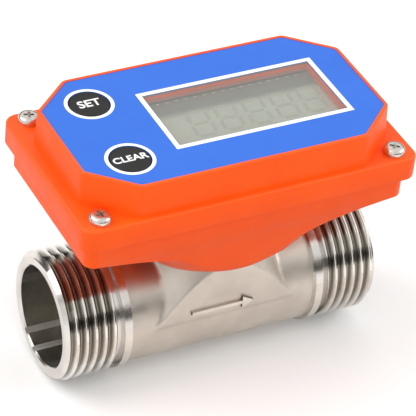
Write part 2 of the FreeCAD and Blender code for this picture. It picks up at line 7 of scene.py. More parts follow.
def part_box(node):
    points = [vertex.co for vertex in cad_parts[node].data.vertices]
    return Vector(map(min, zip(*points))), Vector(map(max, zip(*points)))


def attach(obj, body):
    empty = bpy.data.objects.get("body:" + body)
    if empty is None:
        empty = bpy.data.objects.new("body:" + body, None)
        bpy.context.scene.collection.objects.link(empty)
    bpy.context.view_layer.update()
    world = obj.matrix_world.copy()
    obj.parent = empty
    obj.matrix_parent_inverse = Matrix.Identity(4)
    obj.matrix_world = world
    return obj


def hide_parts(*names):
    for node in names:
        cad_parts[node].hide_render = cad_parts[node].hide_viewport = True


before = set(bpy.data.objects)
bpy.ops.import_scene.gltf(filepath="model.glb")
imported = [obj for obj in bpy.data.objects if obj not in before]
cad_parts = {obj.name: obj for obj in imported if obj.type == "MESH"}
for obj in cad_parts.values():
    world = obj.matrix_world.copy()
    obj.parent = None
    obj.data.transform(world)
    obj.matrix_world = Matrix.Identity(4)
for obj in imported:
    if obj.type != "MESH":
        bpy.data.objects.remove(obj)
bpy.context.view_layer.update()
pipeLow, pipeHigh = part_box("flow_body")
pipeMiddle = (pipeLow.x + pipeHigh.x) / 2
mm = 0.001          # pieces are modelled in millimetres about the pipe's middle, then settled in metres
reach = 1           # how far, in millimetres, a tool goes past the face it cuts or joins


# selecting, editing and cutting

def only(piece):        # leaves this piece alone selected and active
    if bpy.context.mode != "OBJECT":
        bpy.ops.object.mode_set(mode="OBJECT")
    bpy.ops.object.select_all(action="DESELECT")
    piece.select_set(True)
    bpy.context.view_layer.objects.active = piece


def edit(piece, kind):      # opens the piece with nothing in it selected
    only(piece)
    bpy.ops.object.mode_set(mode="EDIT")
    bpy.ops.mesh.select_mode(type=kind)
    bpy.ops.mesh.select_all(action="DESELECT")


def pickFaces(piece, test):     # the test gets a face's middle and its normal
    edit(piece, "FACE")
    shape = bmesh.from_edit_mesh(piece.data)
    for face in shape.faces:
        if test(face.calc_center_median(), face.normal):
            face.select_set(True)
    bmesh.update_edit_mesh(piece.data)


def anyFace(place, normal):
    return True


def facesUp(place, normal):
    return normal.z > 0.9


def facesDown(place, normal):
    return normal.z < -0.9


def pickEdges(piece, test):     # the test gets an edge's two ends
    edit(piece, "EDGE")
    shape = bmesh.from_edit_mesh(piece.data)
    for edge in shape.edges:
        if test(edge.verts[0].co, edge.verts[1].co):
            edge.select_set(True)
    bmesh.update_edit_mesh(piece.data)


def bevelPicked(width, steps, profile=0.5):
    bpy.ops.mesh.bevel(offset=width, segments=steps, profile=profile, affect="EDGES")
    bpy.ops.object.mode_set(mode="OBJECT")


def extrudePicked(x, y, z):
    bpy.ops.mesh.extrude_region_move(TRANSFORM_OT_translate={"value": (x, y, z)})


def applyPlace(piece):
    only(piece)
    bpy.ops.object.transform_apply(location=True, rotation=True, scale=True)


def addShape(name, operator, **settings):       # a primitive at its size and place
    if bpy.context.mode != "OBJECT":
        bpy.ops.object.mode_set(mode="OBJECT")
    operator(**settings)
    piece = bpy.context.object
    piece.name = name
    applyPlace(piece)
    return piece


def newBox(name, low, high):
    sizes = [b - a for a, b in zip(low, high)]
    centre = [(a + b) / 2 for a, b in zip(low, high)]
    return addShape(name, bpy.ops.mesh.primitive_cube_add, size=1, location=centre, scale=sizes)


def newPost(name, radius, x, y, low, high, sides=64):      # stands along Z
    return addShape(name, bpy.ops.mesh.primitive_cylinder_add, vertices=sides, radius=radius,
                    depth=high - low, location=(x, y, (low + high) / 2))


def newRod(name, radius, low, high, sides=160):     # lies along the flow, X
    return addShape(name, bpy.ops.mesh.primitive_cylinder_add, vertices=sides, radius=radius,
                    depth=high - low, location=((low + high) / 2, 0, 0), rotation=(0, math.pi / 2, 0))


def newOutline(name, halfX, halfY, corner, z, steps, x=0, y=0):       # a round-cornered sheet
    piece = addShape(name, bpy.ops.mesh.primitive_plane_add, size=2, location=(0, 0, 0))
    piece.scale = (halfX, halfY, 1)
    piece.location = (x, y, z)
    applyPlace(piece)
    if corner:
        edit(piece, "VERT")
        bpy.ops.mesh.select_all(action="SELECT")
        bpy.ops.mesh.bevel(offset=corner, segments=steps, affect="VERTICES", clamp_overlap=False)
        bpy.ops.object.mode_set(mode="OBJECT")
    return piece


def finishWith(piece, kind, **settings):        # adds one modifier and applies it
    only(piece)
    step = piece.modifiers.new(kind.lower(), kind)
    for key, value in settings.items():
        setattr(step, key, value)
    bpy.ops.object.modifier_apply(modifier=step.name)


def combine(piece, tool, how="DIFFERENCE"):
    finishWith(piece, "BOOLEAN", object=tool, operation=how, solver="MANIFOLD")
    bpy.data.objects.remove(tool)


def joinAll(pieces):
    only(pieces[0])
    for piece in pieces:
        piece.select_set(True)
    bpy.ops.object.join()
    return pieces[0]


def straightenNormals(piece):
    edit(piece, "FACE")
    bpy.ops.mesh.select_all(action="SELECT")
    bpy.ops.mesh.remove_doubles(threshold=0.0005)
    bpy.ops.mesh.normals_make_consistent(inside=False)
    bpy.ops.object.mode_set(mode="OBJECT")


def settle(piece, body, material=None, nodes=(), smoothAngle=30):
    only(piece)
    piece.scale = (mm, mm, mm)
    piece.location = piece.location * mm + Vector((pipeMiddle, 0, 0))
    bpy.ops.object.transform_apply(location=True, rotation=True, scale=True)
    bpy.ops.object.shade_smooth_by_angle(angle=math.radians(smoothAngle))
    if material:
        piece.data.materials.clear()
        piece.data.materials.append(material)
    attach(piece, body)
    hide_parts(*nodes)
    return piece


# materials

def linear(hexColour):      # an sRGB hex value as linear colour
    channels = [int(hexColour[i:i + 2], 16) / 255 for i in (1, 3, 5)]
    return [c / 12.92 if c <= 0.04045 else ((c + 0.055) / 1.055) ** 2.4 for c in channels] + [1]


def addNode(tree, kind, settings=None, links=None):
    node = tree.nodes.new(kind)
    for key, value in (settings or {}).items():
        if isinstance(key, int) or key in node.inputs:
            node.inputs[key].default_value = value
        else:
            setattr(node, key, value)
    for key, source in (links or {}).items():
        tree.links.new(source, node.inputs[key])
    return node


def newMaterial(name, shaderSettings):
    material = bpy.data.materials.new(name)
    material.use_nodes = True
    tree = material.node_tree
    shader = tree.nodes["Principled BSDF"]
    for key, value in shaderSettings.items():
        shader.inputs[key].default_value = value
    place = addNode(tree, "ShaderNodeTexCoord").outputs["Object"]
    return material, tree, shader, place


def mottle(tree, shader, place, look):      # colour that drifts between two tones over a real distance
    drift = addNode(tree, "ShaderNodeTexNoise", {"Scale": 1000 / look["driftSize"], "Detail": 4.0},
                    {"Vector": place})
    spread = addNode(tree, "ShaderNodeMapRange", {"From Min": 0.3, "From Max": 0.7},
                     {"Value": drift.outputs["Fac"]})
    tone = addNode(tree, "ShaderNodeMix", {"data_type": "RGBA", 6: linear(look["tone"]),
                                           7: linear(look["otherTone"])},
                   {0: spread.outputs["Result"]})
    tree.links.new(tone.outputs[2], shader.inputs["Base Color"])
    return spread.outputs["Result"]


def grain(tree, shader, place, look, before=None):      # fine bumps, and gloss that varies with them
    bumps = addNode(tree, "ShaderNodeTexNoise", {"Scale": 1000 / look["grainSize"], "Detail": 3.0},
                    {"Vector": place})
    links = {"Height": bumps.outputs["Fac"]}
    if before:
        links["Normal"] = before
    relief = addNode(tree, "ShaderNodeBump", {"Distance": look["grainDepth"] * mm,
                                              "Strength": look.get("grainStrength", 1.0)}, links)
    tree.links.new(relief.outputs["Normal"], shader.inputs["Normal"])
    patches = addNode(tree, "ShaderNodeTexNoise", {"Scale": 1000 / look["glossSize"], "Detail": 3.0},
                      {"Vector": place})
    gloss = addNode(tree, "ShaderNodeMapRange", {"From Min": 0.3, "From Max": 0.7,
                                                 "To Min": look["roughLow"], "To Max": look["roughHigh"]},
                    {"Value": patches.outputs["Fac"]})
    tree.links.new(gloss.outputs["Result"], shader.inputs["Roughness"])
    return relief


def plainFinish(name, look, **shaderSettings):
    material, tree, shader, place = newMaterial(name, shaderSettings)
    mottle(tree, shader, place, look)
    grain(tree, shader, place, look)
    return material


def castSteel():        # investment-cast stainless, bead-blasted: satin grey with a warm, uneven skin
    look = {"tone": "#D2CABF", "otherTone": "#C1B8AD", "driftSize": 9.0, "grainSize": 0.32,
            "grainDepth": 0.03, "glossSize": 5.0, "roughLow": 0.34, "roughHigh": 0.47}
    return plainFinish("CastStainless", look, Metallic=1.0)


def markShadeSteel():     # the same casting on the sides of its raised marks: duller, and darker as painted shade round the marks
    look = {"tone": "#857C70", "otherTone": "#6E665B", "driftSize": 4.0, "grainSize": 0.32,
            "grainDepth": 0.03, "glossSize": 3.0, "roughLow": 0.55, "roughHigh": 0.7}
    return plainFinish("PaintedShadeCasting", look, Metallic=1.0)


def wornHighlightSteel():      # the faces of raised marks, which handling polishes: closer-grained, and lighter partly from that wear and partly as a painted highlight
    look = {"tone": "#E3DDD4", "otherTone": "#D5CEC4", "driftSize": 4.0, "grainSize": 0.32,
            "grainDepth": 0.02, "glossSize": 3.0, "roughLow": 0.28, "roughHigh": 0.4}
    return plainFinish("RubbedHighlightCasting", look, Metallic=1.0)


def turnedSteel():      # the same steel off the lathe: bright, with tool lines round the axis
    look = {"tone": "#DEDAD4", "otherTone": "#CECAC3", "driftSize": 7.0, "grainSize": 0.5,
            "grainDepth": 0.006, "glossSize": 3.0, "roughLow": 0.16, "roughHigh": 0.26}
    material, tree, shader, place = newMaterial("TurnedStainless", {"Metallic": 1.0})
    mottle(tree, shader, place, look)
    toolPitch = 0.22        # a lathe feed of about 0.1 mm, drawn twice as coarse so that it shows
    bandPitch = 314         # millimetres between the bands of a wave texture whose scale is 1
    lines = addNode(tree, "ShaderNodeTexWave", {"bands_direction": "X", "Scale": bandPitch / toolPitch,
                                                "Distortion": 0.6, "Detail": 1.0}, {"Vector": place})
    cuts = addNode(tree, "ShaderNodeBump", {"Distance": 0.004 * mm}, {"Height": lines.outputs["Fac"]})
    grain(tree, shader, place, look, cuts.outputs["Normal"])
    return material


def threadSteel():      # cut thread: crests lighter than the turned steel as a painted highlight, and roots dark as painted shade
    look = {"tone": "#ECE9E4", "otherTone": "#DDD9D2", "driftSize": 7.0, "grainSize": 0.4,
            "grainDepth": 0.006, "glossSize": 3.0, "roughLow": 0.14, "roughHigh": 0.22,
            "rootShadeTone": "#857E74", "rootRadius": 15.5, "crestRadius": 16.58}
    material, tree, shader, place = newMaterial("ThreadStainless", {"Metallic": 1.0})
    mottle(tree, shader, place, look)
    grain(tree, shader, place, look)
    # darker towards the root by distance from the axis: painted shade in the thread's roots and its relief
    # groove
    across = addNode(tree, "ShaderNodeVectorMath", {"operation": "MULTIPLY", 1: (0, 1, 1)}, {0: place})
    radius = addNode(tree, "ShaderNodeVectorMath", {"operation": "LENGTH"}, {0: across.outputs[0]})
    height = addNode(tree, "ShaderNodeMapRange", {"From Min": look["rootRadius"] * mm,
                                                  "From Max": look["crestRadius"] * mm,
                                                  "interpolation_type": "SMOOTHSTEP"},
                     {"Value": radius.outputs["Value"]})
    bright = shader.inputs["Base Color"].links[0].from_socket
    tone = addNode(tree, "ShaderNodeMix", {"data_type": "RGBA", 6: linear(look["rootShadeTone"])},
                   {0: height.outputs["Result"], 7: bright})
    tree.links.new(tone.outputs[2], shader.inputs["Base Color"])
    return material


def broachedSteel():    # the same steel as a broach leaves it in the keyways: torn along the cut, and bright partly from that finish and partly as a painted highlight
    look = {"tone": "#F0EEEA", "otherTone": "#DEDAD4", "driftSize": 4.0, "grainSize": 0.35,
            "grainDepth": 0.02, "glossSize": 2.0, "roughLow": 0.38, "roughHigh": 0.52}
    return plainFinish("BroachedHighlightStainless", look, Metallic=1.0)


def orangeShell():      # injection-moulded ABS, fine spark-eroded skin: strong colour, broad soft shine
    look = {"tone": "#FF590B", "otherTone": "#F95307", "driftSize": 14.0, "grainSize": 0.38,
            "grainDepth": 0.012, "glossSize": 6.0, "roughLow": 0.40, "roughHigh": 0.50}
    return plainFinish("OrangeAbs", look, **{"Specular IOR Level": 0.32})


def blueFilm():     # polyester film printed on its back: flat even colour under a lightly textured gloss
    look = {"tone": "#2A69D1", "otherTone": "#2765CB", "driftSize": 18.0, "grainSize": 0.3,
            "grainDepth": 0.006, "glossSize": 4.0, "roughLow": 0.34, "roughHigh": 0.42}
    return plainFinish("BlueFilm", look, **{"Specular IOR Level": 0.38})


def whiteInk():     # screen-printed ink: dense matt white with the slight mesh edge of a print
    look = {"tone": "#F7F8F6", "otherTone": "#EEF0EE", "driftSize": 3.0, "grainSize": 0.2,
            "grainDepth": 0.003, "glossSize": 2.0, "roughLow": 0.40, "roughHigh": 0.52}
    return plainFinish("WhiteInk", look)


def blackKey():     # moulded silicone-topped key: near-black with a soft bloom
    look = {"tone": "#1B1A19", "otherTone": "#21201E", "driftSize": 4.0, "grainSize": 0.25,
            "grainDepth": 0.008, "glossSize": 2.5, "roughLow": 0.42, "roughHigh": 0.54}
    return plainFinish("BlackKey", look, **{"Specular IOR Level": 0.35})


def clearPane():        # acrylic pane with a slight gloss haze, tinted grey as painted shade that greys whatever lies under it
    look = {"tone": "#9A9C94", "otherTone": "#95978F", "driftSize": 12.0, "grainSize": 1.2,
            "grainDepth": 0.001, "glossSize": 6.0, "roughLow": 0.14, "roughHigh": 0.20}
    return plainFinish("ShadeTintedAcrylic", look, Alpha=0.35, IOR=1.49)


def displayFace():      # reflective liquid-crystal cell: satin grey-green foil, with a painted shadow of the window's far wall along its upper edge
    look = {"tone": "#F4F8E8", "otherTone": "#EEF2E2", "driftSize": 9.0, "grainSize": 0.12,
            "grainDepth": 0.001, "glossSize": 5.0, "roughLow": 0.34, "roughHigh": 0.40,
            "paintedShadowTone": "#8E8C8D", "fadeStart": 1.8, "fadeEnd": 5.2}
    material, tree, shader, place = newMaterial("DisplayFoil", {"Metallic": 0.25})
    mottle(tree, shader, place, look)
    grain(tree, shader, place, look)
    # darker towards the far edge in Y: painted shadow of the opening's far wall on the foil
    parts = addNode(tree, "ShaderNodeSeparateXYZ", None, {0: place})
    fade = addNode(tree, "ShaderNodeMapRange", {"From Min": look["fadeStart"] * mm,
                                                "From Max": look["fadeEnd"] * mm,
                                                "interpolation_type": "SMOOTHSTEP"},
                   {"Value": parts.outputs["Y"]})
    foilTone = shader.inputs["Base Color"].links[0].from_socket
    tone = addNode(tree, "ShaderNodeMix", {"data_type": "RGBA", 7: linear(look["paintedShadowTone"])},
                   {0: fade.outputs["Result"], 6: foilTone})
    tree.links.new(tone.outputs[2], shader.inputs["Base Color"])
    return material


def displaySegment():       # switched-off segments, a shade darker than the foil round them
    look = {"tone": "#DEE1D2", "otherTone": "#DADDCE", "driftSize": 6.0, "grainSize": 0.12,
            "grainDepth": 0.001, "glossSize": 3.0, "roughLow": 0.34, "roughHigh": 0.40}
    return plainFinish("DisplaySegment", look, Metallic=0.25)


def screwSteel():       # cold-headed and tumbled stainless: bright with fine scuffs
    look = {"tone": "#DEDAD3", "otherTone": "#C6C1B9", "driftSize": 0.9, "grainSize": 0.12,
            "grainDepth": 0.006, "glossSize": 0.7, "roughLow": 0.18, "roughHigh": 0.34}
    return plainFinish("ScrewSteel", look, Metallic=1.0)


print("materials ready")


# threaded pipe body, cast in the middle and turned at its ends

pipe = {"end": 43.15, "majorRadius": 16.6245, "collarStart": 25.65, "collarWidth": 2.0,
        "reliefWidth": 1.5, "chamfer": 1.3, "pitch": 2.5, "threadDepth": 1.35, "crestFlat": 0.42,
        "turns": 7, "stepsPerTurn": 96, "sides": 192, "barrelRadius": 15.8, "barrelEnd": 26.4,
        "boreRadius": 13.0, "chamberRadius": 12.2, "chamberEnd": 20, "seatDistance": 17.15,
        "mouthChamfer": 0.4,
        "keywayWidth": 1.65, "keywayDepth": 0.8, "keywayAngles": (-54.0, -77.5)}
boss = {"foot": 1.5, "footRadius": 24.85, "coneTop": 17.0, "halfWidth": 16.2, "top": 20.3,
        "topRadius": 16.0, "wellRadius": 4.0, "wellFloor": 15.2, "screwReach": 11.0,
        "screwHole": 1.55, "holeFloor": 14.4, "sides": 128, "voxel": 0.5, "softening": 7}
flowMark = {"start": -9.7, "tip": 7.4, "height": 4.1, "width": 1.0, "proud": 0.65, "headRadius": 2.1,
            "edgeRound": 0.18}


def threadCutter():     # a ridge wound as a screw, whose section is the groove between two crests
    half = (pipe["pitch"] - pipe["crestFlat"]) / 2
    major = pipe["majorRadius"]
    root = major - pipe["threadDepth"]
    # how far the groove's side is from its middle line, and how high above the root
    flank = ((0.16, 0.0), (0.40, 0.16), (half - 0.22, pipe["threadDepth"] - 0.34),
             (half - 0.07, pipe["threadDepth"] - 0.09), (half, pipe["threadDepth"]), (half, 2.0))
    section = [(-x, root + z) for x, z in reversed(flank)] + [(x, root + z) for x, z in flank]
    ridge = addShape("threadCutter", bpy.ops.mesh.primitive_circle_add, vertices=len(section), radius=1)
    first = pipe["end"] + pipe["pitch"] * 1.1       # the first turn runs in from outside the end
    for vertex, (x, z) in zip(ridge.data.vertices, section):
        vertex.co = (first + x, 0, z)
    steps = pipe["stepsPerTurn"]
    finishWith(ridge, "SCREW", axis="X", angle=2 * math.pi, screw_offset=-pipe["pitch"],
               iterations=pipe["turns"], steps=steps, render_steps=steps)
    edit(ridge, "EDGE")
    bpy.ops.mesh.select_non_manifold(extend=False)
    bpy.ops.mesh.fill_holes(sides=0)
    straightenNormals(ridge)
    return ridge


def threadedEnd():
    stub = newRod("threadedEnd", pipe["majorRadius"], pipe["collarStart"], pipe["end"], pipe["sides"])
    pickEdges(stub, lambda a, b: a.x > pipe["end"] - 0.01 and b.x > pipe["end"] - 0.01)
    bevelPicked(pipe["chamfer"], 1)
    reliefStart = pipe["collarStart"] + pipe["collarWidth"]
    ring = newRod("relief", pipe["majorRadius"] + 2 * reach, reliefStart,
                  reliefStart + pipe["reliefWidth"], pipe["sides"])
    reliefRadius = pipe["majorRadius"] - pipe["threadDepth"] - 0.05     # just under the thread's root
    combine(ring, newRod("reliefCore", reliefRadius, reliefStart - reach, reliefStart + 4 * reach,
                         pipe["sides"]))
    combine(stub, ring)
    combine(stub, threadCutter())
    return stub


def castMiddle():
    middle = newRod("flowBody", pipe["barrelRadius"], -pipe["barrelEnd"], pipe["barrelEnd"], boss["sides"])
    cone = addShape("cone", bpy.ops.mesh.primitive_cone_add, vertices=boss["sides"],
                    radius1=boss["footRadius"], radius2=boss["topRadius"],
                    depth=boss["coneTop"] - boss["foot"],
                    location=(0, 0, (boss["coneTop"] + boss["foot"]) / 2))
    for side in (-1, 1):
        edit(cone, "FACE")
        bpy.ops.mesh.select_all(action="SELECT")
        bpy.ops.mesh.bisect(plane_co=(0, side * boss["halfWidth"], 0), plane_no=(0, side, 0),
                            use_fill=True, clear_outer=True)
        bpy.ops.object.mode_set(mode="OBJECT")
    combine(middle, cone, "UNION")
    combine(middle, newPost("seat", boss["topRadius"], 0, 0, boss["coneTop"] - reach, boss["top"],
                            boss["sides"]), "UNION")
    finishWith(middle, "REMESH", mode="VOXEL", voxel_size=boss["voxel"])
    finishWith(middle, "SMOOTH", factor=0.5, iterations=boss["softening"])
    return middle


def raisedArrow():      # a cast flow arrow on the near flat
    low = -boss["halfWidth"] - flowMark["proud"]
    halfWidth = flowMark["width"] / 2
    height = flowMark["height"]
    headMiddle = flowMark["tip"] - flowMark["headRadius"]
    arrow = newBox("flowArrow", (flowMark["start"], low, height - halfWidth),
                   (headMiddle, reach - boss["halfWidth"], height + halfWidth))
    head = addShape("arrowHead", bpy.ops.mesh.primitive_cylinder_add, vertices=3,
                    radius=flowMark["headRadius"], depth=flowMark["proud"] + reach,
                    location=(headMiddle, (low + reach - boss["halfWidth"]) / 2, height),
                    rotation=(math.pi / 2, math.pi / 2, 0))
    combine(arrow, head, "UNION")
    finishWith(arrow, "BEVEL", width=flowMark["edgeRound"], segments=2, limit_method="ANGLE")
    return arrow


body = castMiddle()
combine(body, raisedArrow(), "UNION")
for turn in (0, math.pi):
    stub = threadedEnd()
    stub.rotation_euler = (0, 0, turn)
    applyPlace(stub)
    combine(body, stub, "UNION")
combine(body, newRod("chamber", pipe["chamberRadius"], -pipe["chamberEnd"], pipe["chamberEnd"]))
for side in (-1, 1):
    ends = sorted((side * pipe["seatDistance"], side * (pipe["end"] + reach)))
    combine(body, newRod("bore", pipe["boreRadius"], *ends))
    combine(body, addShape("mouth", bpy.ops.mesh.primitive_cone_add, vertices=160, depth=2 * reach,
                           radius1=pipe["boreRadius"] + pipe["mouthChamfer"] - reach,
                           radius2=pipe["boreRadius"] + pipe["mouthChamfer"] + reach,
                           location=(side * pipe["end"], 0, 0), rotation=(0, side * math.pi / 2, 0)))
    for angle in pipe["keywayAngles"]:
        slot = newBox("keyway", (ends[0], 0, -pipe["keywayWidth"] / 2),
                      (ends[1], pipe["boreRadius"] + pipe["keywayDepth"], pipe["keywayWidth"] / 2))
        slot.rotation_euler = (math.radians(angle), 0, 0)
        applyPlace(slot)
        combine(body, slot)
combine(body, newPost("well", boss["wellRadius"], 0, 0, boss["wellFloor"], boss["top"] + 2 * reach))
for side in (-1, 1):
    combine(body, newPost("tapped", boss["screwHole"], 0, side * boss["screwReach"],
                          boss["holeFloor"], boss["top"] + 2 * reach))
straightenNormals(body)
# the finishes' places: margins of tenths of a millimetre keep each border's faces on the right side
threadStart = pipe["collarStart"] + pipe["collarWidth"] + pipe["reliefWidth"] + 0.02


def fromAxis(place):
    return math.hypot(place.y, place.z)


def isTurned(place, normal):        # both machined ends and the whole bore
    return abs(place.x) > pipe["collarStart"] - 0.4 or fromAxis(place) < pipe["boreRadius"] + 0.9


def isThreaded(place, normal):
    return (threadStart < abs(place.x) < pipe["end"] - pipe["chamfer"]
            and fromAxis(place) > pipe["majorRadius"] - pipe["threadDepth"] - 0.2)


def isBroached(place, normal):
    return (pipe["seatDistance"] < abs(place.x) < pipe["end"] - pipe["mouthChamfer"]
            and 0.1 < fromAxis(place) - pipe["boreRadius"] < pipe["keywayDepth"] + 0.1)


def isRaised(place):        # stands out of the near flat
    return place.y < -boss["halfWidth"] - 0.05


def isMarkSide(place, normal):
    return isRaised(place) and abs(normal.y) < 0.5


def isMarkFace(place, normal):
    return isRaised(place) and normal.y < -0.5


body.data.materials.clear()
body.data.materials.append(castSteel())
# the raised marks' sides take painted shade, and their faces a lighter tone that is partly a painted
# highlight
for number, (finish, test) in enumerate(((turnedSteel, isTurned), (threadSteel, isThreaded),
                                         (broachedSteel, isBroached), (markShadeSteel, isMarkSide),
                                         (wornHighlightSteel, isMarkFace)), 1):
    body.data.materials.append(finish())
    pickFaces(body, test)
    body.active_material_index = number
    bpy.ops.object.material_slot_assign()
settle(body, "meter", None, ["flow_body"], 32)
print("pipe body", len(body.data.polygons))


# moulded housing base: a bell that opens from a round rim to the box above

base = {"rimHeight": 19.3, "rimRadius": 21.0, "rimWall": 2.2, "bellHeight": 12.9, "flare": 4.4,
        "cornerPower": 0.55, "stations": 14, "cornerSteps": 16, "halfLength": 43.0, "halfWidth": 23.0,
        "corner": 3.0, "leastCorner": 1.0, "leastSide": 0.05, "wall": 2.0, "split": 38.5,
        "floorUnderside": 21.3, "floorTop": 23.3, "capsuleHole": 3.9, "screwHole": 1.75,
        "pilotHole": 1.4, "pilotFloor": 34.1, "rimRound": 0.35}
cover = {"halfLength": 45.0, "halfWidth": 25.0, "flangeTop": 44.77, "flangeCorner": 3.5,
         "flangeRound": 0.8, "footRound": 0.3, "lidHalfLength": 41.7, "lidHalfWidth": 23.3,
         "cutLength": 11.2, "cutWidth": 10.0, "innerCutLess": (1.1, 1.0), "draft": 0.45,
         "lidTop": 53.44, "wall": 2.6, "edgeRound": 0.9, "rimRound": 0.4, "lip": 0.9, "recess": 0.7,
         "roofUnderside": 51.04, "ledge": 52.24, "ledgeWidth": 0.5, "screwX": 39.5, "screwY": 20.9,
         "screwHole": 1.6, "bossRadius": 2.3, "boardTop": 47.6, "boardThickness": 1.6,
         "boardScrews": ((-19.2, 16.8), (27.0, -16.8))}
window = {"x": 8.15, "y": -0.2, "halfLength": 22.85, "halfWidth": 10.6}
key = {"x": -28.05, "y": 11.7, "radius": 5.0, "hole": 5.2, "flangeRadius": 5.9,
       "bottom": 50.03, "flangeTop": 50.9, "top": 53.39, "round": 0.4}


def bellSolid(name, inset, lift, firstShare, topHeight):
    loops = []
    for station in range(base["stations"]):
        leftToGo = 1 - station / (base["stations"] - 1)
        share = 1 - (1 - firstShare) * leftToGo ** 2
        halfX = base["rimRadius"] + (base["halfLength"] - base["rimRadius"]) * share ** base["flare"]
        halfY = base["rimRadius"] + (base["halfWidth"] - base["rimRadius"]) * share
        tightened = share ** base["cornerPower"]
        corner = base["rimRadius"] * (1 - tightened) + base["corner"] * tightened
        corner = max(min(corner, halfY - base["leastSide"]) - inset, base["leastCorner"])
        height = base["rimHeight"] + lift + base["bellHeight"] * share
        loops.append(newOutline(name, halfX - inset, halfY - inset, corner, height, base["cornerSteps"]))
    loops.append(newOutline(name, halfX - inset, halfY - inset, corner, topHeight, base["cornerSteps"]))
    bell = joinAll(loops)
    edit(bell, "FACE")
    bpy.ops.mesh.select_all(action="SELECT")
    bpy.ops.mesh.delete(type="ONLY_FACE")
    bpy.ops.mesh.select_mode(type="EDGE")
    bpy.ops.mesh.select_all(action="SELECT")
    bpy.ops.mesh.bridge_edge_loops(type="SINGLE")
    bpy.ops.mesh.select_all(action="DESELECT")
    bpy.ops.mesh.select_non_manifold(extend=False)
    bpy.ops.mesh.fill_holes(sides=0)
    straightenNormals(bell)
    return bell


shell = bellSolid("housingBase", 0, 0, 0, base["split"])
pickEdges(shell, lambda a, b: max(a.z, b.z) < base["rimHeight"] + 0.01)
bevelPicked(base["rimRound"], 3)
innerStart = (base["floorTop"] - base["rimHeight"] - base["wall"]) / base["bellHeight"]
combine(shell, bellSolid("hollow", base["wall"], base["wall"], innerStart, base["split"] + reach))
combine(shell, newPost("skirt", base["rimRadius"] - base["rimWall"], 0, 0, base["rimHeight"] - reach,
                       base["floorUnderside"], 96))
floorLow, floorHigh = base["floorUnderside"] - reach, base["floorTop"] + reach
combine(shell, newPost("capsuleHole", base["capsuleHole"], 0, 0, floorLow, floorHigh))
for side in (-1, 1):
    combine(shell, newPost("hole", base["screwHole"], 0, side * boss["screwReach"],
                           floorLow, floorHigh, 32))
    for end in (-1, 1):
        combine(shell, newPost("pilot", base["pilotHole"], end * cover["screwX"], side * cover["screwY"],
                               base["pilotFloor"], base["split"] + reach, 32))
orange = orangeShell()
settle(shell, "meter", orange, ["housing_base"], 28)
print("housing base", len(shell.data.polygons))


# moulded cover: flange, drafted lid with cut corners, recess for the film, window and key openings

def cutCornerBlock(name, halfX, halfY, cutX, cutY, low, high):
    block = newBox(name, (-halfX, -halfY, low), (halfX, halfY, high))
    for sideX in (-1, 1):
        for sideY in (-1, 1):
            edit(block, "FACE")
            bpy.ops.mesh.select_all(action="SELECT")
            outwards = Vector((sideX * cutY, sideY * cutX, 0)).normalized()
            bpy.ops.mesh.bisect(plane_co=(sideX * halfX, sideY * (halfY - cutY), 0), plane_no=outwards,
                                use_fill=True, clear_outer=True)
            bpy.ops.object.mode_set(mode="OBJECT")
    return block


def isUpright(a, b):        # the lid's upright corner edges are the only ones that climb 4 mm
    return abs(a.z - b.z) > 4


flange = newOutline("housingCover", cover["halfLength"], cover["halfWidth"], cover["flangeCorner"],
                    base["split"], 8)
pickFaces(flange, anyFace)
extrudePicked(0, 0, cover["flangeTop"] - base["split"])
straightenNormals(flange)
for level, width in ((cover["flangeTop"], cover["flangeRound"]), (base["split"], cover["footRound"])):
    pickEdges(flange, lambda a, b: abs(a.z - level) < 0.01 and abs(b.z - level) < 0.01)
    bevelPicked(width, 4)
lid = cutCornerBlock("lid", cover["lidHalfLength"], cover["lidHalfWidth"], cover["cutLength"],
                     cover["cutWidth"], cover["flangeTop"] - reach, cover["lidTop"])
pickFaces(lid, facesUp)
bpy.ops.transform.resize(value=(1 - cover["draft"] / cover["lidHalfLength"],
                                1 - cover["draft"] / cover["lidHalfWidth"], 1))
pickEdges(lid, isUpright)
bevelPicked(cover["edgeRound"], 5)
pickEdges(lid, lambda a, b: min(a.z, b.z) > cover["lidTop"] - 0.01)
bevelPicked(cover["rimRound"], 3)
pickFaces(lid, lambda place, normal: normal.z > 0.99)
bpy.ops.mesh.inset(thickness=cover["lip"] - cover["rimRound"])
extrudePicked(0, 0, -cover["recess"])
combine(flange, lid, "UNION")
lessLength, lessWidth = cover["innerCutLess"]
hollow = cutCornerBlock("hollow", cover["lidHalfLength"] - cover["wall"],
                        cover["lidHalfWidth"] - cover["wall"], cover["cutLength"] - lessLength,
                        cover["cutWidth"] - lessWidth, base["split"] - reach, cover["roofUnderside"])
for x, y in cover["boardScrews"]:
    combine(hollow, newPost("post", cover["bossRadius"], x, y, cover["boardTop"], cover["lidTop"], 32))
combine(flange, hollow)
for grow, low, high in ((0, cover["ledge"], cover["lidTop"] + reach),
                        (-cover["ledgeWidth"], cover["roofUnderside"] - reach, cover["lidTop"])):
    halfX, halfY = window["halfLength"] + grow, window["halfWidth"] + grow
    combine(flange, newBox("opening", (window["x"] - halfX, window["y"] - halfY, low),
                           (window["x"] + halfX, window["y"] + halfY, high)))
for side in (-1, 1):
    combine(flange, newPost("keyHole", key["hole"], key["x"], side * key["y"],
                            cover["roofUnderside"] - reach, cover["lidTop"] + reach))
    for end in (-1, 1):
        combine(flange, newPost("screwHole", cover["screwHole"], end * cover["screwX"],
                                side * cover["screwY"], base["split"] - reach,
                                cover["flangeTop"] + reach, 32))
settle(flange, "meter", orange, ["housing_cover"], 28)
print("housing cover", len(flange.data.polygons))


# push keys with their printed rings and legends

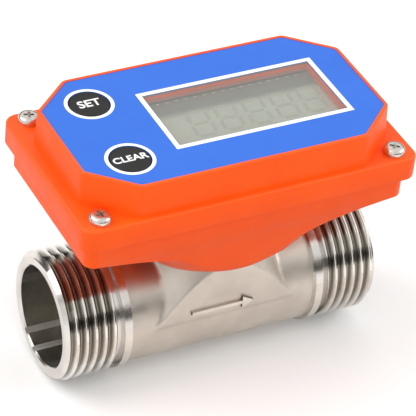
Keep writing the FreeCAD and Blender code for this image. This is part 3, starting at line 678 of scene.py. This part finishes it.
ink = whiteInk()
legend = {"SET": {"body": "set_button", "side": 1, "size": 3.8, "node": "set_key"},
          "CLEAR": {"body": "clear_button", "side": -1, "size": 3.0, "node": "clear_key"}}
printed = {"height": 53.24, "thickness": 0.05, "ringInner": 5.25, "ringOuter": 6.14,
           "frameWidth": 1.2, "strokeGrowth": 0.07, "letterHeight": 0.03}
blackCap = blackKey()


def printedBand(piece, width):        # leaves a band of ink round the sheet's edge
    pickFaces(piece, anyFace)
    bpy.ops.mesh.inset(thickness=width)
    bpy.ops.mesh.delete(type="FACE")
    pickFaces(piece, anyFace)
    extrudePicked(0, 0, printed["thickness"])
    straightenNormals(piece)
    settle(piece, "meter", ink)


for word, values in legend.items():
    y = values["side"] * key["y"]
    cap = newPost(word.lower() + "Key", key["flangeRadius"], key["x"], y,
                  key["bottom"], key["flangeTop"], 96)
    pickFaces(cap, facesUp)
    bpy.ops.mesh.inset(thickness=key["flangeRadius"] - key["radius"])
    extrudePicked(0, 0, key["top"] - key["flangeTop"])
    pickEdges(cap, lambda a, b: min(a.z, b.z) > key["top"] - 0.01)
    bevelPicked(key["round"], 4)
    settle(cap, values["body"], blackCap, [values["node"]])
    bpy.ops.object.text_add(location=(key["x"], y, key["top"]))
    letters = bpy.context.object
    letters.name = word.lower() + "Legend"
    letters.data.body = word
    letters.data.size = values["size"]
    letters.data.offset = printed["strokeGrowth"]
    letters.data.extrude = printed["letterHeight"]
    letters.data.align_x = "CENTER"
    letters.data.align_y = "CENTER"
    only(letters)
    bpy.ops.object.convert(target="MESH")
    settle(letters, values["body"], ink)
    ring = addShape(word.lower() + "Ring", bpy.ops.mesh.primitive_circle_add, vertices=96,
                    radius=printed["ringOuter"], fill_type="NGON",
                    location=(key["x"], y, printed["height"]))
    printedBand(ring, printed["ringOuter"] - printed["ringInner"])
border = newOutline("windowBorder", window["halfLength"] + printed["frameWidth"],
                    window["halfWidth"] + printed["frameWidth"], 0, printed["height"], 0,
                    window["x"], window["y"])
printedBand(border, printed["frameWidth"])
print("keys and print")


# screws: pan heads with a cross recess

screwKinds = {
    "coverScrew": {"head": 2.75, "headHeight": 1.9, "shank": 1.35, "length": 10.6, "recess": 1.15,
                   "slotWidth": 0.8, "slotReach": 1.7, "dome": 1.25, "nodes": ["cover_screws"]},
    "baseScrew": {"head": 2.8, "headHeight": 1.8, "shank": 1.5, "length": 8.0, "recess": 1.1,
                  "slotWidth": 0.8, "slotReach": 1.6, "dome": 1.1, "nodes": []},
    "boardScrew": {"head": 1.9, "headHeight": 1.3, "shank": 1.0, "length": 4.2, "recess": 0.8,
                   "slotWidth": 0.6, "slotReach": 1.2, "dome": 0.8, "nodes": []}}
screwShape = {"domeProfile": 0.55, "tip": 0.7, "wingTaper": (0.45, 0.6, 1)}     # shares common to all
screwFinish = screwSteel()


def panScrew(name, values):     # modelled head up, its seat at the origin
    screw = newPost(name, values["head"], 0, 0, 0, values["headHeight"], 48)
    pickEdges(screw, lambda a, b: min(a.z, b.z) > values["headHeight"] - 0.01)
    bevelPicked(values["dome"], 6, screwShape["domeProfile"])
    pickFaces(screw, facesDown)
    bpy.ops.mesh.inset(thickness=values["head"] - values["shank"])
    extrudePicked(0, 0, -values["length"])
    bpy.ops.transform.resize(value=(screwShape["tip"], screwShape["tip"], 1))
    for turn in (0, math.pi / 2):
        slotHalf = values["slotWidth"] / 2
        wing = newBox("wing", (-values["slotReach"], -slotHalf, values["headHeight"] - values["recess"]),
                      (values["slotReach"], slotHalf, values["headHeight"] + reach))
        pickFaces(wing, facesDown)
        bpy.ops.transform.resize(value=screwShape["wingTaper"])
        wing.rotation_euler = (0, 0, turn)
        applyPlace(wing)
        combine(screw, wing)
    return screw


def placeScrews(kind, spots, seat, upsideDown=False):
    values = screwKinds[kind]
    model = panScrew(kind, values)
    for number, (x, y, turn) in enumerate(spots, 1):
        copy = model.copy()
        copy.data = model.data.copy()
        copy.name = kind + str(number)
        bpy.context.scene.collection.objects.link(copy)
        copy.rotation_euler = (math.pi if upsideDown else 0, 0, math.radians(turn))
        copy.location = (x, y, seat)
        applyPlace(copy)
        settle(copy, "meter", screwFinish, values["nodes"])
    bpy.data.objects.remove(model)


coverCorners = ((-1, -1, 12), (1, -1, 50), (1, 1, 25), (-1, 1, 70))      # end, side, degrees turned
placeScrews("coverScrew", [(end * cover["screwX"], side * cover["screwY"], turn)
                           for end, side, turn in coverCorners], cover["flangeTop"])
placeScrews("baseScrew", [(0, boss["screwReach"], 15), (0, -boss["screwReach"], 40)], base["floorTop"])
placeScrews("boardScrew", [(x, y, 30) for x, y in cover["boardScrews"]],
            cover["boardTop"] - cover["boardThickness"], True)
print("screws")


# display: foil face and its switched-off segments

display = {"left": -16.65, "right": 32.95, "near": -9.9, "far": 9.2, "top": 50.8, "foil": 0.05,
           "digits": 5, "digitHeight": 9.6, "digitWidth": 5.0, "stroke": 0.95, "gap": 0.12,
           "spacing": 7.6, "slant": 0.1, "firstX": -7.2, "baseY": -6.4,
           "markSunk": 0.01, "markProud": 0.02,
           "pads": 16, "padPitch": 2.54, "padLength": 0.8, "padWidth": 0.45, "padY": 8.9}


def digitSegments():
    halfHeight = display["digitHeight"] / 2
    stroke = display["stroke"]
    gap = display["gap"]
    across = [(stroke / 2 + gap, display["digitWidth"] - stroke / 2 - gap, y)
              for y in (0, halfHeight, 2 * halfHeight)]
    upright = [(x, low + stroke / 2 + gap, low + halfHeight - stroke / 2 - gap)
               for x in (0, display["digitWidth"]) for low in (0, halfHeight)]
    boxes = [(a, y - stroke / 2, b, y + stroke / 2) for a, b, y in across]
    return boxes + [(x - stroke / 2, a, x + stroke / 2, b) for x, a, b in upright]


foil = newOutline("displayFoil", (display["right"] - display["left"]) / 2,
                  (display["far"] - display["near"]) / 2, 0.2, display["top"], 2,
                  (display["right"] + display["left"]) / 2, (display["far"] + display["near"]) / 2)
pickFaces(foil, anyFace)
extrudePicked(0, 0, display["foil"])
straightenNormals(foil)
settle(foil, "meter", displayFace())


def flatMark(lowX, lowY, highX, highY):     # a thin raised mark on the foil
    surface = display["top"] + display["foil"]
    return newBox("mark", (lowX, lowY, surface - display["markSunk"]),
                  (highX, highY, surface + display["markProud"]))


segments = []
for digit in range(display["digits"]):
    for lowX, lowY, highX, highY in digitSegments():
        startX = display["firstX"] + digit * display["spacing"]
        segments.append(flatMark(startX + lowX, display["baseY"] + lowY,
                                 startX + highX, display["baseY"] + highY))
ghost = joinAll(segments)
ghost.name = "displaySegments"
for vertex in ghost.data.vertices:
    vertex.co.x += (vertex.co.y - display["baseY"]) * display["slant"]
settle(ghost, "meter", displaySegment())
marks = []
for number in range(display["pads"]):
    middleX = window["x"] + (number - (display["pads"] - 1) / 2) * display["padPitch"]
    marks.append(flatMark(middleX - display["padLength"] / 2, display["padY"] - display["padWidth"] / 2,
                          middleX + display["padLength"] / 2, display["padY"] + display["padWidth"] / 2))
pads = joinAll(marks)
pads.name = "displayPads"
settle(pads, "meter", displaySegment())
print("display")


# finishes of the nodes that keep their CAD shape

nodeFinishes = {
    "front_overlay": blueFilm(),
    "display_window": clearPane(),
}
moulded = {"driftSize": 6.0, "grainSize": 0.3, "grainDepth": 0.01, "glossSize": 3.0,
           "roughLow": 0.4, "roughHigh": 0.55}
metal = {"driftSize": 2.0, "grainSize": 0.2, "grainDepth": 0.005, "glossSize": 1.5,
         "roughLow": 0.2, "roughHigh": 0.35}
tones = {       # common name, two close tones, surface, metallic, nodes
    "AcetalWhite": ("#E4E1D8", "#DAD6CB", moulded, 0,
                    ("inlet_straightener", "outlet_straightener", "rotor")),
    "GraphitePolymer": ("#3B3A39", "#454341", moulded, 0, ("inlet_bearing", "outlet_bearing")),
    "GroundSteel": ("#C9C8C5", "#BAB9B5", metal, 1, ("rotor_shaft",)),
    "NickelPlate": ("#C4BFB4", "#B5B0A4", metal, 1,
                    ("rotor_magnets", "battery_contacts", "quartz_crystal")),
    "NitrileRubber": ("#151515", "#1C1B1B", moulded, 0, ("neck_gasket", "cover_gasket")),
    "BlackNylon": ("#1B1B1A", "#232221", moulded, 0,
                   ("set_switch", "clear_switch", "battery_holder", "sensor_capsule")),
    "GreyAcetal": ("#55534F", "#4C4A47", moulded, 0, ("set_switch_plunger", "clear_switch_plunger")),
    "GreenLaminate": ("#1C5A34", "#236B3E", moulded, 0, ("circuit_board",)),
    "DisplayGlass": ("#6F7468", "#656A5F", metal, 0, ("lcd_glass",)),
    "TinnedClip": ("#D8D6D0", "#C9C6BE", metal, 1, ("lcd_pins",)),
    "MouldedEpoxy": ("#181818", "#202020", moulded, 0, ("controller_chip", "hall_sensor")),
    "WhiteNylon": ("#E2DCCB", "#D8D1BF", moulded, 0, ("sensor_connector",)),
    "CellJacket": ("#2C3136", "#343A40", metal, 0, ("battery_cells",)),
    "LeadSheath": ("#1A1A1A", "#222222", moulded, 0, ("sensor_lead",))}
for name, (tone, otherTone, surface, metallic, nodeNames) in tones.items():
    finish = plainFinish(name, {"tone": tone, "otherTone": otherTone, **surface}, Metallic=metallic)
    for nodeName in nodeNames:
        nodeFinishes[nodeName] = finish
for nodeName, finish in nodeFinishes.items():
    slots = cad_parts[nodeName].data.materials
    for index in range(len(slots)):
        slots[index] = finish
print("node finishes")


# camera, floor and soft studio light

view = {"eye": (-260.28, -449.20, 420.32), "azimuth": 30.2, "elevation": 37.44, "roll": 6.26,
        "lens": 227.38, "clipStart": 0.01, "clipEnd": 20}
stage = {"floorSize": 6, "floorHeight": -0.0167, "floorTone": "#F6F5F4", "bounceTone": "#8E8C8A",
         "worldTone": "#FFFFFF", "worldStrength": 0.85, "flagRadius": 1.3, "flagFoot": 0.03,
         "flagHeight": 0.5, "flagTone": "#45423F",
         "flagGap": (-175, -125)}       # degrees round Z where the screen is open
lamps = {       # metres, and watts
    "keySoftbox": {"place": (-0.7, 0.35, 0.85), "size": 0.9, "power": 7, "highlight": True},
    "sideSoftbox": {"place": (0.9, -0.25, 0.55), "size": 0.6, "power": 4, "highlight": True},
    "frontSoftbox": {"place": (-0.35, -1.0, 0.35), "size": 0.7, "power": 4, "highlight": False}}
aim = (pipeMiddle, 0, 0.03)


def placeCamera():
    a, e, r = (math.radians(view[k]) for k in ("azimuth", "elevation", "roll"))
    flatRight = Vector((math.cos(a), -math.sin(a), 0))
    back = Vector((-math.sin(a) * math.cos(e), -math.cos(a) * math.cos(e), math.sin(e)))
    level = back.cross(flatRight)
    right = math.cos(r) * flatRight + math.sin(r) * level
    up = -math.sin(r) * flatRight + math.cos(r) * level
    bpy.ops.object.camera_add()
    camera = bpy.context.object
    camera.name = "productCamera"
    camera.data.lens = view["lens"]
    camera.data.clip_start = view["clipStart"]
    camera.data.clip_end = view["clipEnd"]
    turn = Matrix((right, up, back)).transposed()
    eye = Vector(view["eye"]) * mm + Vector((pipeMiddle, 0, 0))
    camera.matrix_world = Matrix.Translation(eye) @ turn.to_4x4()
    bpy.context.scene.camera = camera


def seenDirectly(tree):     # 1 where camera, reflection or clear plastic shows it, 0 for its bounced light
    ray = addNode(tree, "ShaderNodeLightPath")
    either = addNode(tree, "ShaderNodeMath", {"operation": "MAXIMUM"},
                     {0: ray.outputs["Is Camera Ray"], 1: ray.outputs["Is Glossy Ray"]})
    anyOfThree = addNode(tree, "ShaderNodeMath", {"operation": "MAXIMUM"},
                         {0: either.outputs[0], 1: ray.outputs["Is Transmission Ray"]})
    return anyOfThree.outputs[0]


def softbox(name, place, size, power, highlight):       # without a highlight it only fills the shade
    bpy.ops.object.light_add(type="AREA", location=place)
    lamp = bpy.context.object
    lamp.name = name
    lamp.data.shape = "RECTANGLE"
    lamp.data.size = lamp.data.size_y = size
    lamp.data.energy = power
    lamp.rotation_mode = "QUATERNION"
    lamp.rotation_quaternion = (Vector(place) - Vector(aim)).to_track_quat("Z", "Y")
    lamp.visible_glossy = highlight


def darkFlag():     # a low dark screen that only reflections see, as studios use for bright metal
    flag = addShape("reflectionFlag", bpy.ops.mesh.primitive_cylinder_add, vertices=64,
                    radius=stage["flagRadius"], depth=stage["flagHeight"], end_fill_type="NOTHING",
                    location=(pipeMiddle, 0, stage["flagFoot"] + stage["flagHeight"] / 2))
    gapStart, gapEnd = stage["flagGap"]
    pickFaces(flag, lambda place, normal: gapStart < math.degrees(math.atan2(place.y, place.x)) < gapEnd)
    bpy.ops.mesh.delete(type="FACE")
    bpy.ops.object.mode_set(mode="OBJECT")
    cloth, _, shader, _ = newMaterial("BlackFlagCloth", {"Roughness": 0.95, "Specular IOR Level": 0.1})
    shader.inputs["Base Color"].default_value = linear(stage["flagTone"])
    flag.data.materials.append(cloth)
    flag.visible_camera = False
    flag.visible_diffuse = False
    flag.visible_shadow = False
    flag.visible_transmission = False


placeCamera()
darkFlag()
for name, values in lamps.items():
    softbox(name, **values)
bpy.ops.mesh.primitive_plane_add(size=stage["floorSize"], location=(pipeMiddle, 0, stage["floorHeight"]))
floor = bpy.context.object
floor.name = "studioFloor"
paper, paperTree, paperShader, _ = newMaterial("PaperFloor", {"Roughness": 0.9, "Specular IOR Level": 0.2})
paperTone = addNode(paperTree, "ShaderNodeMix",
                    {"data_type": "RGBA", 6: linear(stage["bounceTone"]), 7: linear(stage["floorTone"])},
                    {0: seenDirectly(paperTree)})
paperTree.links.new(paperTone.outputs[2], paperShader.inputs["Base Color"])
floor.data.materials.append(paper)
world = bpy.data.worlds.new("StudioWorld")
bpy.context.scene.world = world
world.use_nodes = True
sky = world.node_tree
strength = addNode(sky, "ShaderNodeMapRange", {"To Min": stage["worldStrength"], "To Max": 1.0},
                   {"Value": seenDirectly(sky)})
background = sky.nodes["Background"]
background.inputs["Color"].default_value = linear(stage["worldTone"])
sky.links.new(strength.outputs["Result"], background.inputs["Strength"])
bpy.context.scene.view_settings.view_transform = "Standard"
print("camera and light")
